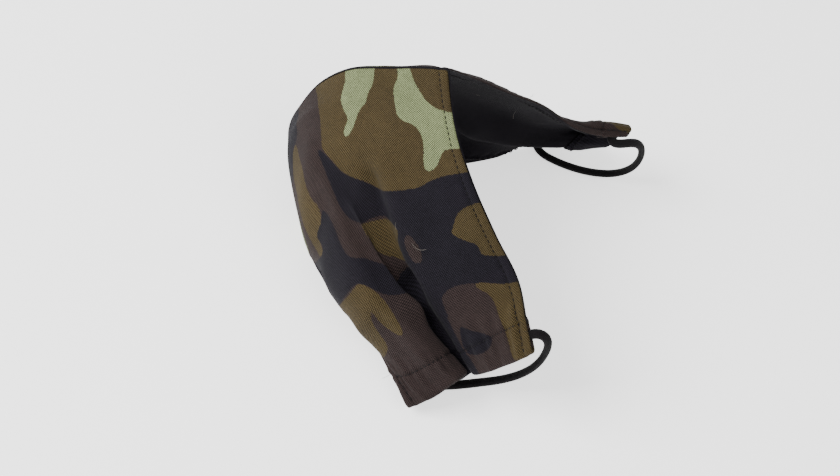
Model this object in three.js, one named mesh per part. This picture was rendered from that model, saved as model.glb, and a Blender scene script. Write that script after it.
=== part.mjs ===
// A shaped cloth face mask with two ear loops, standing on its lower edge.
// The nose faces -Y, the ears are towards +Y, and the wearer's left is +X.
// Each half of the mask is one smooth surface, and every cloth layer is a thin
// closed shell that follows it. Lengths are in millimetres.
import * as THREE from 'three';

// Driving dimensions.
const upperEdgeLength = 130;      // one half, from the nose to the ear end
const seamLength = 134;           // centre seam, from the nose to the chin
const earEndLength = 80;          // the ear end, along the creased cloth
const seamBandWidth = 10;         // cloth on each side of the centre seam
const casingWidth = 15;           // the tunnel for the elastic, at the ear end
const foldThickness = 1.5;        // the turned edge that closes the tunnel
const clearance = 0.3;
const edgeStitchInset = 3.8;
const threadRadius = 0.25;
const threadClearance = 0.7;
const loopRadius = 1.6;
const ribbonWidth = 4;

// Middle of the cloth in plan, in the frame of the shape points below, which is
// centred on the nose.
const clothMiddle = { x: 1.88, y: 16.24 };

// The layers, as distances from the surface: positive is away from the face.
const outerCloth = { inner: 0.2, outer: 1.0 };
const liningCloth = { inner: -0.95, outer: -0.3 };
const tunnelCloth = { inner: -2.9, outer: -2.2 };
const turnedHem = { inner: -1.95, outer: -1.3 };
const elasticInTunnel = { inner: -1.9, outer: -0.1 };
const threadLift = outerCloth.outer + threadClearance + threadRadius;

// Shape of one half: columns run from the centre seam to the ear end, and rows
// from the upper edge to the lower edge, at these shares of the way along.
const columnShares = [0, 0.2, 0.4, 0.6, 0.8, 0.9, 1];
const rowShares = [0, 0.07, 0.2, 0.36, 0.5, 0.63, 0.84, 1];
const seamColumn = [
  [0, 0, 108.6], [0, -8.2, 103.5], [0, -22.4, 92.6], [0, -39.2, 78.7],
  [0, -49.3, 61], [0, -54, 43], [0, -55.5, 17], [0, -46, 0],
];
const leftColumns = [
  seamColumn,
  [[13, 13.5, 93.5], [13, 7, 90], [15, -6, 83], [17, -22, 70],
    [19, -34, 57], [20, -42, 43], [20, -45, 18], [20, -37, 0]],
  [[25.5, 31, 81], [27.5, 25, 77], [31, 14, 69], [37, 1, 59],
    [40, -8, 46], [45, -15, 42], [49, -20, 18], [42, -19, 0]],
  [[37.5, 50.7, 71], [40, 46, 67], [46, 37, 59], [53, 26, 47],
    [56, 19, 33], [65, 13, 35], [68, 4, 16], [58.5, 2, 0]],
  [[49.5, 70.8, 62], [52, 67, 57.5], [58, 60, 49], [64, 53, 36],
    [66, 47.5, 22], [75, 43, 28.5], [78, 31, 12], [70.5, 29, 0]],
  [[59.5, 79.6, 57], [61.5, 76.5, 52.5], [65.5, 70.5, 43.5], [69.5, 63.5, 31],
    [69.5, 58.5, 18.5], [77, 55, 25.5], [84, 46, 13], [83, 40.5, 4.8]],
  [[69.4, 88.4, 52], [71, 86, 47.5], [73, 81, 38.5], [74, 74.5, 26],
    [73, 69, 16], [79.5, 67, 22], [89.5, 60, 14], [94.5, 53, 6.2]],
];
const rightColumns = [
  seamColumn,
  [[-16, 11, 93.2], [-18, 5, 90], [-20, -7, 81], [-22, -21, 68],
    [-23, -31, 54], [-24, -37, 40], [-23, -40, 17], [-19, -34, 0]],
  [[-31, 27.3, 78.5], [-35, 22, 75], [-39, 13, 65], [-42, 3, 52],
    [-41, -5, 38], [-43, -9, 33], [-45, -13, 14], [-36, -12, 0]],
  [[-46.5, 45, 64], [-49.5, 41.5, 58.5], [-54, 33, 48], [-55, 25, 36],
    [-46, 21, 22], [-50, 16, 21], [-50, 12, 8], [-41, 13, 0]],
  [[-55.5, 63.6, 51.5], [-59.5, 63, 51], [-66, 60.5, 42.5], [-70, 55.5, 30],
    [-61, 48.5, 20], [-64, 44, 19], [-66, 40, 9], [-61, 34.5, 0]],
  [[-63, 74, 46.5], [-67, 73, 48.5], [-73.5, 72, 42.5], [-79, 68.5, 32],
    [-70, 64, 22.5], [-74.5, 57, 20], [-78, 50.5, 11], [-73.5, 43.5, 4.8]],
  [[-72.5, 85.8, 44.5], [-75.5, 86, 46.5], [-80.5, 84.5, 41], [-85, 83, 32],
    [-81, 80, 25], [-86, 73, 21.5], [-91, 62, 14], [-88, 52, 6.2]],
];
const toVectors = (columns) => columns.map((rows) => rows.map((p) => new THREE.Vector3(...p)));
const halves = {
  left: { columns: toVectors(leftColumns), side: 1 },
  right: { columns: toVectors(rightColumns), side: -1 },
};

// Routes of the free elastic: out of the upper tunnel mouth, down behind the ear
// end to the table, and back under the cloth to the lower mouth.
const loopRoutes = {
  left: [
    [62.3, 84.7, 55.4], [61.8, 86.7, 56.1], [61.2, 88.9, 56.0], [60.7, 91.1, 54.6],
    [60.4, 92.9, 51.6], [60.4, 94.0, 47.2], [60.7, 94.4, 42.0], [61.1, 94.2, 36.6],
    [61.5, 93.2, 31.0], [61.9, 91.4, 25.4], [62.4, 88.8, 20.0], [63.1, 85.4, 14.8],
    [64.1, 81.3, 10.2], [65.6, 76.6, 6.4], [67.9, 71.7, 3.6], [70.8, 66.7, 2.2],
    [74.2, 61.4, 1.8], [77.4, 56.3, 1.8], [80.3, 52.4, 1.9], [82.9, 49.6, 2.2],
    [85.2, 47.4, 2.9], [87.4, 45.6, 3.8],
  ],
  right: [
    [-66.1, 78.6, 43.4], [-66.3, 80.4, 42.4], [-67.5, 83.0, 41.9], [-69.7, 86.0, 42.0],
    [-72.4, 89.0, 41.9], [-75.1, 91.8, 40.4], [-77.4, 94.4, 37.0], [-79.0, 96.4, 31.8],
    [-79.9, 97.3, 25.8], [-80.4, 97.0, 19.6], [-80.6, 95.2, 13.8], [-80.5, 92.0, 8.8],
    [-80.0, 87.7, 5.0], [-78.8, 82.6, 2.9], [-77.2, 77.0, 2.0], [-75.7, 71.4, 1.8],
    [-74.6, 65.6, 1.8], [-74.1, 60.0, 1.8], [-74.2, 55.2, 1.8], [-75.2, 51.6, 2.1],
    [-76.7, 49.1, 2.8], [-78.4, 46.9, 3.9],
  ],
};

const camoCloth = new THREE.MeshStandardMaterial({ color: 0x4b4433, roughness: 0.95 });
const liningMaterial = new THREE.MeshStandardMaterial({ color: 0x1b1c20, roughness: 0.95 });
const elasticMaterial = new THREE.MeshStandardMaterial({ color: 0x141416, roughness: 0.85 });
const threadMaterial = new THREE.MeshStandardMaterial({ color: 0x17171a, roughness: 0.7 });

// Slope of a smooth curve through points at uneven shares, at point i.
function slopeAt(points, shares, i) {
  const chord = (k) => points[k + 1].clone().sub(points[k]).divideScalar(shares[k + 1] - shares[k]);
  if (i === 0) return chord(0);
  if (i === points.length - 1) return chord(i - 1);
  const before = shares[i] - shares[i - 1];
  const after = shares[i + 1] - shares[i];
  return chord(i - 1).multiplyScalar(after).add(chord(i).multiplyScalar(before)).divideScalar(before + after);
}

// Cubic Hermite curve through the points.
function curvePoint(points, shares, t) {
  let i = 0;
  while (i < shares.length - 2 && t > shares[i + 1]) i += 1;
  const span = shares[i + 1] - shares[i];
  const s = (t - shares[i]) / span;
  const from = slopeAt(points, shares, i).multiplyScalar(span * (s ** 3 - 2 * s ** 2 + s));
  const to = slopeAt(points, shares, i + 1).multiplyScalar(span * (s ** 3 - s ** 2));
  const rest = points[i].clone().multiplyScalar(2 * s ** 3 - 3 * s ** 2 + 1);
  return rest.add(from).add(to).addScaledVector(points[i + 1], 3 * s ** 2 - 2 * s ** 3);
}

function surfacePoint(half, u, v) {
  const rows = rowShares.map((_, j) => curvePoint(half.columns.map((column) => column[j]), columnShares, u));
  return curvePoint(rows, rowShares, v);
}

// Unit vector that points away from the face.
function outwardNormal(half, u, v) {
  const step = 0.004;
  const u0 = Math.max(0, u - step);
  const v0 = Math.max(0, v - step);
  const u1 = Math.min(1, u + step);
  const v1 = Math.min(1, v + step);
  const along = surfacePoint(half, u1, v).sub(surfacePoint(half, u0, v));
  const down = surfacePoint(half, u, v1).sub(surfacePoint(half, u, v0));
  return down.cross(along).multiplyScalar(half.side).normalize();
}

// On the centre seam both halves share one normal.
function sharedNormal(half, u, v) {
  if (u > 0) return outwardNormal(half, u, v);
  return outwardNormal(halves.left, 0, v).add(outwardNormal(halves.right, 0, v)).normalize();
}

// A point at a distance from the surface. The lower edge is cut level, and no
// cloth goes below the table.
function layerPoint(half, u, v, distance) {
  const base = surfacePoint(half, u, v);
  const point = base.clone().addScaledVector(sharedNormal(half, u, v), distance);
  point.z = v === 1 ? Math.max(base.z, 0) : Math.max(point.z, 0);
  return point;
}

const divide = (from, to, count) => Array.from({ length: count + 1 }, (_, k) => from + ((to - from) * k) / count);
const shareFromEar = (distance) => 1 - distance / upperEdgeLength;

// A closed shell. Its columns run from the right ear to the left ear, and each
// gives its half, its share u and the distances of its two faces.
function shell(columns, rows) {
  const positions = [];
  const faces = [];
  columns.forEach(({ half, u, inner, outer }) => {
    rows.forEach((v) => {
      positions.push(...layerPoint(half, u, v, inner).toArray(), ...layerPoint(half, u, v, outer).toArray());
    });
  });
  const lastColumn = columns.length - 1;
  const lastRow = rows.length - 1;
  const inside = (i, j) => 2 * (i * rows.length + j);
  const outside = (i, j) => inside(i, j) + 1;
  const quad = (a, b, c, d) => faces.push(a, b, c, a, c, d);
  for (let i = 0; i < lastColumn; i += 1) {
    for (let j = 0; j < lastRow; j += 1) {
      quad(outside(i, j), outside(i, j + 1), outside(i + 1, j + 1), outside(i + 1, j));
      quad(inside(i, j), inside(i + 1, j), inside(i + 1, j + 1), inside(i, j + 1));
    }
    quad(outside(i, 0), outside(i + 1, 0), inside(i + 1, 0), inside(i, 0));
    quad(inside(i, lastRow), inside(i + 1, lastRow), outside(i + 1, lastRow), outside(i, lastRow));
  }
  for (let j = 0; j < lastRow; j += 1) {
    quad(outside(0, j), inside(0, j), inside(0, j + 1), outside(0, j + 1));
    quad(outside(lastColumn, j + 1), inside(lastColumn, j + 1), inside(lastColumn, j), outside(lastColumn, j));
  }
  const geometry = new THREE.BufferGeometry();
  geometry.setAttribute('position', new THREE.Float32BufferAttribute(positions, 3));
  geometry.setIndex(faces);
  geometry.computeVertexNormals();
  return geometry;
}

// Columns of one half, in order from the right ear to the left ear.
function halfColumns(half, shares, layer) {
  const columns = shares.map((u) => ({ half, u, ...layer }));
  return half.side > 0 ? columns : columns.reverse();
}

// Rows are closer near the upper edge, where the cloth rolls over.
const panelRows = [...divide(0, 0.1875, 6), ...divide(0.25, 1, 12)];
const bandShare = seamBandWidth / upperEdgeLength;

// The lining stops inside the tunnel, and the outer cloth runs on to the fold.
const liningShares = divide(bandShare + clearance / upperEdgeLength, shareFromEar(casingWidth - 2.5), 11);
const outerShares = [...liningShares, shareFromEar(casingWidth / 2), shareFromEar(foldThickness + 2 * clearance)];

function panel(half, layer, shares) {
  return shell(halfColumns(half, shares, layer), panelRows);
}

function seamBand(layer) {
  const shares = divide(0, bandShare, 2);
  const right = halfColumns(halves.right, shares.slice(1), layer);
  const left = halfColumns(halves.left, shares, layer);
  return shell([...right, ...left], panelRows);
}

// The cloth turned back at the ear end: a hem strip over the lining, raised over
// the elastic, and the fold that joins it to the outer cloth.
function tunnel(half) {
  const wall = { inner: tunnelCloth.inner, outer: outerCloth.outer };
  const strip = [
    { distance: casingWidth, ...turnedHem },
    { distance: casingWidth - 3.5, ...tunnelCloth },
    { distance: casingWidth / 2, ...tunnelCloth },
    { distance: foldThickness + 0.05, ...tunnelCloth },
    { distance: foldThickness, ...wall },
    { distance: 0, ...wall },
  ];
  const columns = strip.map(({ distance, inner, outer }) => ({ half, u: shareFromEar(distance), inner, outer }));
  return shell(half.side > 0 ? columns : columns.reverse(), panelRows);
}

function elasticRibbon(half) {
  const middle = casingWidth / 2;
  const shares = [middle + ribbonWidth / 2, middle - ribbonWidth / 2].map(shareFromEar);
  return shell(halfColumns(half, shares, elasticInTunnel), panelRows);
}

function tubeAlong(points, radius, sides, steps) {
  const outline = new THREE.Shape(
    divide(0, 2 * Math.PI, sides).slice(0, sides)
      .map((angle) => new THREE.Vector2(radius * Math.cos(angle), radius * Math.sin(angle))),
  );
  const extrudePath = new THREE.CatmullRomCurve3(points);
  return new THREE.ExtrudeGeometry(outline, { steps, extrudePath, curveSegments: 1 });
}

function thread(half, places) {
  const points = places.map(([u, v]) => layerPoint(half, u, v, threadLift));
  return tubeAlong(points, threadRadius, 5, 20);
}

const clothDepth = (u) => seamLength + (earEndLength - seamLength) * u;
const stitchShares = divide(bandShare + 0.01, shareFromEar(foldThickness + 0.5), 14);

function upperEdgeThread(half) {
  return thread(half, stitchShares.map((u) => [u, edgeStitchInset / clothDepth(u)]));
}

function lowerEdgeThread(half) {
  return thread(half, stitchShares.map((u) => [u, 1 - edgeStitchInset / clothDepth(u)]));
}

function tunnelThread(half) {
  return thread(half, divide(0.055, 0.945, 18).map((v) => [shareFromEar(casingWidth), v]));
}

function earLoop(name) {
  const points = loopRoutes[name].map((p) => new THREE.Vector3(...p));
  return tubeAlong(points, loopRadius, 8, 48);
}

// The origin is below the middle of the cloth, on the table.
const mask = new THREE.Group();
mask.name = 'face_mask';
mask.position.set(-clothMiddle.x, -clothMiddle.y, 0);

function add(name, geometry, material) {
  const mesh = new THREE.Mesh(geometry, material);
  mesh.name = name;
  mask.add(mesh);
}

add('outer_centre_seam', seamBand(outerCloth), camoCloth);
add('lining_centre_seam', seamBand(liningCloth), liningMaterial);
Object.entries(halves).forEach(([name, half]) => {
  add(`outer_${name}`, panel(half, outerCloth, outerShares), camoCloth);
  add(`lining_${name}`, panel(half, liningCloth, liningShares), liningMaterial);
  add(`${name}_ear_tunnel`, tunnel(half), camoCloth);
  add(`${name}_tunnel_elastic`, elasticRibbon(half), elasticMaterial);
  add(`${name}_ear_loop`, earLoop(name), elasticMaterial);
  add(`${name}_upper_edge_thread`, upperEdgeThread(half), threadMaterial);
  add(`${name}_lower_edge_thread`, lowerEdgeThread(half), threadMaterial);
  add(`${name}_tunnel_thread`, tunnelThread(half), threadMaterial);
});

export default mask;
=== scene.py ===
"""The looks of a cloth face mask with a camouflage print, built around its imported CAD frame."""

import math

import bpy
import numpy as np
from mathutils import Matrix, Vector


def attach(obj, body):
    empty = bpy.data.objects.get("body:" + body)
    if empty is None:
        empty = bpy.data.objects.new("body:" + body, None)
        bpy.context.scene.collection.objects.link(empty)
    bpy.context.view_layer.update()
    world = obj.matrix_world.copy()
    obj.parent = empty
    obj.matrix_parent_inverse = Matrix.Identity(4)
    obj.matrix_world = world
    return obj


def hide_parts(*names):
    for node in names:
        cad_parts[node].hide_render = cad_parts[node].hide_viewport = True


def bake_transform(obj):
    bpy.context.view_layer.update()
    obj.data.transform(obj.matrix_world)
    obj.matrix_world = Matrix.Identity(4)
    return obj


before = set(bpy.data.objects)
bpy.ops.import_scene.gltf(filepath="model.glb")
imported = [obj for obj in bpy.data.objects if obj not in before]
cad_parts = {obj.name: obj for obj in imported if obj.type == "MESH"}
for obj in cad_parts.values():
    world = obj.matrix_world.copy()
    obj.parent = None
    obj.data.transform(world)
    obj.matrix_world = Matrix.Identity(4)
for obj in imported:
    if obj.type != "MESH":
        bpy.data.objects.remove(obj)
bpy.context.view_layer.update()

MM = 0.001

# The cloth's shape, in millimetres, as the CAD source has it: columns run from the
# centre seam to the ear end and rows from the upper edge to the lower edge.
UPPER_EDGE_LENGTH = 130.0
SEAM_LENGTH = 134.0
EAR_END_LENGTH = 80.0
CASING_WIDTH = 15.0
CLOTH_MIDDLE = np.array([1.88, 16.24, 0.0])
COLUMN_SHARES = np.array([0, 0.2, 0.4, 0.6, 0.8, 0.9, 1])
ROW_SHARES = np.array([0, 0.07, 0.2, 0.36, 0.5, 0.63, 0.84, 1])
SEAM_COLUMN = [
    (0, 0, 108.6), (0, -8.2, 103.5), (0, -22.4, 92.6), (0, -39.2, 78.7),
    (0, -49.3, 61), (0, -54, 43), (0, -55.5, 17), (0, -46, 0),
]
LEFT_COLUMNS = [
    SEAM_COLUMN,
    [(13, 13.5, 93.5), (13, 7, 90), (15, -6, 83), (17, -22, 70),
     (19, -34, 57), (20, -42, 43), (20, -45, 18), (20, -37, 0)],
    [(25.5, 31, 81), (27.5, 25, 77), (31, 14, 69), (37, 1, 59),
     (40, -8, 46), (45, -15, 42), (49, -20, 18), (42, -19, 0)],
    [(37.5, 50.7, 71), (40, 46, 67), (46, 37, 59), (53, 26, 47),
     (56, 19, 33), (65, 13, 35), (68, 4, 16), (58.5, 2, 0)],
    [(49.5, 70.8, 62), (52, 67, 57.5), (58, 60, 49), (64, 53, 36),
     (66, 47.5, 22), (75, 43, 28.5), (78, 31, 12), (70.5, 29, 0)],
    [(59.5, 79.6, 57), (61.5, 76.5, 52.5), (65.5, 70.5, 43.5), (69.5, 63.5, 31),
     (69.5, 58.5, 18.5), (77, 55, 25.5), (84, 46, 13), (83, 40.5, 4.8)],
    [(69.4, 88.4, 52), (71, 86, 47.5), (73, 81, 38.5), (74, 74.5, 26),
     (73, 69, 16), (79.5, 67, 22), (89.5, 60, 14), (94.5, 53, 6.2)],
]
RIGHT_COLUMNS = [
    SEAM_COLUMN,
    [(-16, 11, 93.2), (-18, 5, 90), (-20, -7, 81), (-22, -21, 68),
     (-23, -31, 54), (-24, -37, 40), (-23, -40, 17), (-19, -34, 0)],
    [(-31, 27.3, 78.5), (-35, 22, 75), (-39, 13, 65), (-42, 3, 52),
     (-41, -5, 38), (-43, -9, 33), (-45, -13, 14), (-36, -12, 0)],
    [(-46.5, 45, 64), (-49.5, 41.5, 58.5), (-54, 33, 48), (-55, 25, 36),
     (-46, 21, 22), (-50, 16, 21), (-50, 12, 8), (-41, 13, 0)],
    [(-55.5, 63.6, 51.5), (-59.5, 63, 51), (-66, 60.5, 42.5), (-70, 55.5, 30),
     (-61, 48.5, 20), (-64, 44, 19), (-66, 40, 9), (-61, 34.5, 0)],
    [(-63, 74, 46.5), (-67, 73, 48.5), (-73.5, 72, 42.5), (-79, 68.5, 32),
     (-70, 64, 22.5), (-74.5, 57, 20), (-78, 50.5, 11), (-73.5, 43.5, 4.8)],
    [(-72.5, 85.8, 44.5), (-75.5, 86, 46.5), (-80.5, 84.5, 41), (-85, 83, 32),
     (-81, 80, 25), (-86, 73, 21.5), (-91, 62, 14), (-88, 52, 6.2)],
]

# Each half's points, and the side of the nose that it is on.
HALVES = {
    "left": (np.array(LEFT_COLUMNS, float), 1),
    "right": (np.array(RIGHT_COLUMNS, float), -1),
}

# Routes of the free elastic from the tunnel's upper mouth to its lower one, in millimetres, as
# the CAD source has them.
LOOP_ROUTES = {
    "left": [
        (62.3, 84.7, 55.4), (61.8, 86.7, 56.1), (61.2, 88.9, 56.0), (60.7, 91.1, 54.6),
        (60.4, 92.9, 51.6), (60.4, 94.0, 47.2), (60.7, 94.4, 42.0), (61.1, 94.2, 36.6),
        (61.5, 93.2, 31.0), (61.9, 91.4, 25.4), (62.4, 88.8, 20.0), (63.1, 85.4, 14.8),
        (64.1, 81.3, 10.2), (65.6, 76.6, 6.4), (67.9, 71.7, 3.6), (70.8, 66.7, 2.2),
        (74.2, 61.4, 1.8), (77.4, 56.3, 1.8), (80.3, 52.4, 1.9), (82.9, 49.6, 2.2),
        (85.2, 47.4, 2.9), (87.4, 45.6, 3.8),
    ],
    "right": [
        (-66.1, 78.6, 43.4), (-66.3, 80.4, 42.4), (-67.5, 83.0, 41.9), (-69.7, 86.0, 42.0),
        (-72.4, 89.0, 41.9), (-75.1, 91.8, 40.4), (-77.4, 94.4, 37.0), (-79.0, 96.4, 31.8),
        (-79.9, 97.3, 25.8), (-80.4, 97.0, 19.6), (-80.6, 95.2, 13.8), (-80.5, 92.0, 8.8),
        (-80.0, 87.7, 5.0), (-78.8, 82.6, 2.9), (-77.2, 77.0, 2.0), (-75.7, 71.4, 1.8),
        (-74.6, 65.6, 1.8), (-74.1, 60.0, 1.8), (-74.2, 55.2, 1.8), (-75.2, 51.6, 2.1),
        (-76.7, 49.1, 2.8), (-78.4, 46.9, 3.9),
    ],
}
LOOP_WIDTH = 4.2
LOOP_THICKNESS = 3.2
LOOP_TUCK = 2.0  # how far each end goes into its mouth
TUNNEL_LINE = UPPER_EDGE_LENGTH - CASING_WIDTH / 2  # middle of the tunnel along the cloth
TUNNEL_DISTANCE = -0.95  # middle of the tunnel off the cloth


# ---- camera

# Angles in degrees and lengths in millimetres. The target is placed like the cloth's points.
VIEW_TURNS = (92.5, 54.0, 26.0)  # azimuth, elevation and roll
VIEW_DISTANCE = 854.9
VIEW_TARGET = (-23.1, 20.0, -39.9)
LENS_LENGTH = 72.86
SENSOR_WIDTH = 36
NEAR_CLIP = 0.01  # metres


def add_camera():
    """The view that shows one half from its side and looks down into the other."""
    azimuth, elevation, roll = (math.radians(turn) for turn in VIEW_TURNS)
    target = Vector(VIEW_TARGET) - Vector(CLOTH_MIDDLE)
    back = Vector((
        math.sin(azimuth) * math.cos(elevation),
        -math.cos(azimuth) * math.cos(elevation),
        math.sin(elevation),
    ))
    level_right = Vector((0, 0, 1)).cross(back).normalized()
    level_up = back.cross(level_right)
    right = math.cos(roll) * level_right + math.sin(roll) * level_up
    up = back.cross(right)
    camera = bpy.data.objects.new("camera", bpy.data.cameras.new("camera"))
    camera.data.lens = LENS_LENGTH
    camera.data.sensor_width = SENSOR_WIDTH
    camera.data.clip_start = NEAR_CLIP
    turned = Matrix((right, up, back)).transposed().to_4x4()
    camera.matrix_world = Matrix.Translation((target + back * VIEW_DISTANCE) * MM) @ turned
    bpy.context.scene.collection.objects.link(camera)
    bpy.context.scene.camera = camera


# ---- surfaces

def slopes(points, shares):
    """Slopes of a smooth curve through points (first axis) at uneven shares."""
    shape = (-1,) + (1,) * (points.ndim - 1)
    spans = np.diff(shares).reshape(shape)
    chords = np.diff(points, axis=0) / spans
    before, after = spans[:-1], spans[1:]
    inner = (after * chords[:-1] + before * chords[1:]) / (before + after)
    return np.concatenate([chords[:1], inner, chords[-1:]])


def cubic(start, end, start_slope, end_slope, s, span):
    """A Hermite curve's point at share s of a span, from its ends and the slopes there."""
    return (
        (2 * s**3 - 3 * s**2 + 1) * start + (s**3 - 2 * s**2 + s) * span * start_slope
        + (3 * s**2 - 2 * s**3) * end + (s**3 - s**2) * span * end_slope
    )


def hermite(points, shares, at):
    """The curve through points at each value of at."""
    shape = (-1,) + (1,) * (points.ndim - 1)
    slope = slopes(points, shares)
    i = np.clip(np.searchsorted(shares, at, side="right") - 1, 0, len(shares) - 2)
    span = np.diff(shares)[i].reshape(shape)
    s = (at - shares[i]).reshape(shape) / span
    return cubic(points[i], points[i + 1], slope[i], slope[i + 1], s, span)


def surface(half, u, v):
    """Points of a half's surface at arrays of shares u and v, in millimetres in the frame."""
    u, v = np.broadcast_arrays(u, v)
    rows = hermite(HALVES[half][0], COLUMN_SHARES, u.ravel())
    points = hermite_rows(rows, v.ravel())
    return points.reshape(u.shape + (3,)) - CLOTH_MIDDLE


def hermite_rows(rows, at):
    """One curve for each value of at: rows holds its points along the second axis."""
    points = rows.transpose(1, 0, 2)
    slope = slopes(points, ROW_SHARES)
    each = np.arange(len(at))
    i = np.clip(np.searchsorted(ROW_SHARES, at, side="right") - 1, 0, len(ROW_SHARES) - 2)
    span = np.diff(ROW_SHARES)[i][:, None]
    s = (at - ROW_SHARES[i])[:, None] / span
    return cubic(points[i, each], points[i + 1, each], slope[i, each], slope[i + 1, each], s, span)


def unit(vectors):
    return vectors / np.maximum(np.linalg.norm(vectors, axis=-1, keepdims=True), 1e-9)


NORMAL_STEP = 0.004  # share of a half, to each side of the point whose normal is found
SEAM_REACH = 0.03  # share of a half over which its normals turn to those at the seam


def own_normals(half, u, v):
    """Unit normals of one half's own surface, away from the face."""
    u_low, u_high = np.clip(u - NORMAL_STEP, 0, 1), np.clip(u + NORMAL_STEP, 0, 1)
    v_low, v_high = np.clip(v - NORMAL_STEP, 0, 1), np.clip(v + NORMAL_STEP, 0, 1)
    along = surface(half, u_high, v) - surface(half, u_low, v)
    down = surface(half, u, v_high) - surface(half, u, v_low)
    return unit(np.cross(down, along) * HALVES[half][1])


def outward(half, u, v):
    """Unit normals away from the face. Both halves share those on the centre seam."""
    u, v = np.broadcast_arrays(u, v)
    normals = own_normals(half, u, v)
    share = np.clip(1 - u / SEAM_REACH, 0, 1)[..., None] / 2
    if share.any():
        other = "right" if half == "left" else "left"
        normals = normals * (1 - share) + own_normals(other, u, v) * share
    return unit(normals)


def cloth_depth(w):
    """Length of the cloth down from the upper edge to the lower one, at a distance from the seam."""
    return SEAM_LENGTH + (EAR_END_LENGTH - SEAM_LENGTH) * w / UPPER_EDGE_LENGTH


# Soft folds of each half, on the flat cloth in millimetres from the seam and from the
# upper edge: start, end, half width, and how far the cloth lifts.
FOLDS = {
    "left": [
        ((46, 55), (84, 61), 5.5, -4.8),
        ((84, 61), (128, 64), 5.0, -5.0),
        ((56, 71), (92, 75), 6.5, 3.8),
        ((92, 75), (128, 79), 6.0, 3.2),
        ((92, 96), (112, 104), 4.0, -0.8),
        ((14, 30), (12, 92), 5.0, 0.9),
        ((30, 84), (52, 128), 6.0, 1.1),
        ((48, 92), (66, 132), 4.5, -0.9),
        ((70, 66), (88, 80), 4.0, 0.8),
        ((84, 92), (96, 126), 5.0, 1.0),
        ((112, 8), (129, 12), 2.6, 0.7),
        ((110, 24), (129, 29), 3.0, -0.7),
        ((108, 40), (129, 38), 2.8, 0.8),
        ((112, 96), (129, 90), 3.0, 0.8),
        ((110, 108), (129, 106), 2.8, -0.7),
        ((112, 122), (129, 120), 2.6, 0.7),
    ],
    "right": [
        ((20, 24), (40, 70), 6.0, 0.9),
        ((36, 84), (60, 118), 5.5, 1.0),
        ((66, 12), (92, 40), 5.0, -0.8),
        ((82, 66), (104, 92), 5.0, 0.9),
        ((112, 14), (129, 18), 2.8, 0.7),
        ((110, 34), (129, 36), 3.0, -0.7),
        ((112, 54), (129, 52), 2.8, 0.7),
        ((110, 84), (129, 86), 3.0, -0.6),
        ((112, 112), (129, 110), 2.8, 0.7),
    ],
}
PRINT_DEPTH = 137.0  # depth of the flat cloth that folds and print are placed on
SEAM_TAUT = 12.0  # the seam holds the cloth flat within this distance

# A faint ripple over the whole cloth: its height, and the millimetres in each radian of it.
RIPPLE_HEIGHT = 0.25
RIPPLE_ACROSS = 5.1
RIPPLE_DOWN = 6.3
RIPPLE_BEND = 13

EDGE_STITCH_INSET = 3.8
TUNNEL_STITCH = UPPER_EDGE_LENGTH - CASING_WIDTH + 2.2
STITCH_LENGTH = 2.5
DENT_DEPTH = 0.42
DENT_WIDTH = 0.9
HOLE_DEPTH = 0.15  # how much deeper the dent is at each stitch hole

# Beside a stitched line the cloth bulges to one side and puckers on the other. Each has its
# height, its distance from the line and its width.
BULGE = (0.3, -1.9, 1.3)
PUCKER = (0.24, 1.4, 2.6)
PUCKER_LENGTH = 7.3

# The elastic gathers the cloth around the tunnel's stitch line in two sets of ripples.
GATHER_HEIGHT = 0.3
GATHER_REACH = 7.5
GATHER_LENGTHS = (6.1, 3.7)


def bump(distance, width):
    """A smooth rise that is 1 at no distance and fades over a width."""
    return np.exp(-((distance / width) ** 2))


def fold_lift(half, w, t):
    """How far soft folds and a faint ripple lift the cloth, in millimetres."""
    lift = np.zeros(np.broadcast(w, t).shape)
    for (w0, t0), (w1, t1), width, height in FOLDS[half]:
        dw, dt = w1 - w0, t1 - t0
        share = ((w - w0) * dw + (t - t0) * dt) / (dw * dw + dt * dt)
        near = np.clip(share, 0, 1)
        gap = np.hypot(w - w0 - near * dw, t - t0 - near * dt)
        lift += height * bump(gap, width)
    bend = 1.2 * np.sin(t / RIPPLE_BEND)
    lift += RIPPLE_HEIGHT * np.sin(w / RIPPLE_ACROSS + bend) * np.sin(t / RIPPLE_DOWN + 0.7)
    return lift * np.clip(w / SEAM_TAUT, 0, 1) ** 2


def stitch_dent(w, t, depth):
    """Cloth pulled in along the stitched lines, deeper at each stitch hole, with short puckers."""
    dent = np.zeros(np.broadcast(w, t).shape)
    lines = [
        (t - EDGE_STITCH_INSET, w),
        (depth - t - EDGE_STITCH_INSET, w),
        (w - TUNNEL_STITCH, t),
    ]
    long, short = GATHER_LENGTHS
    gather = np.sin(2 * np.pi * t / long + 2.2 * np.sin(t / 9.0))
    gather = gather + 0.6 * np.sin(2 * np.pi * t / short + w / 6.0)
    dent += GATHER_HEIGHT * gather * bump(w - TUNNEL_STITCH - 1.0, GATHER_REACH)
    for gap, along in lines:
        hole = 0.5 + 0.5 * np.cos(2 * np.pi * along / STITCH_LENGTH)
        pucker = np.sin(2 * np.pi * along / PUCKER_LENGTH + 1.5 * np.sin(along / 5))
        dent -= (DENT_DEPTH + HOLE_DEPTH * hole) * bump(gap, DENT_WIDTH)
        height, place, width = BULGE
        bulge = height * bump(gap - place, width)
        height, place, width = PUCKER
        dent += bulge + height * pucker * bump(gap - place, width)
    return dent


def cloth_points(half, w, v, distance):
    """Points off the surface: w along it from the seam, v the share of the way down, and a
    distance along the outward normal.
    """
    u = w / UPPER_EDGE_LENGTH
    depth = cloth_depth(w)
    lift = fold_lift(half, w, v * PRINT_DEPTH) + stitch_dent(w, v * depth, depth)
    return surface(half, u, v) + outward(half, u, v) * (distance + lift)[..., None]


def sheet_normals(middle, half):
    """Unit normals of a grid of points, away from the face."""
    along = np.gradient(middle, axis=0)
    down = np.gradient(middle, axis=1)
    return unit(np.cross(down, along) * HALVES[half][1])


# ---- mesh making

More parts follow.
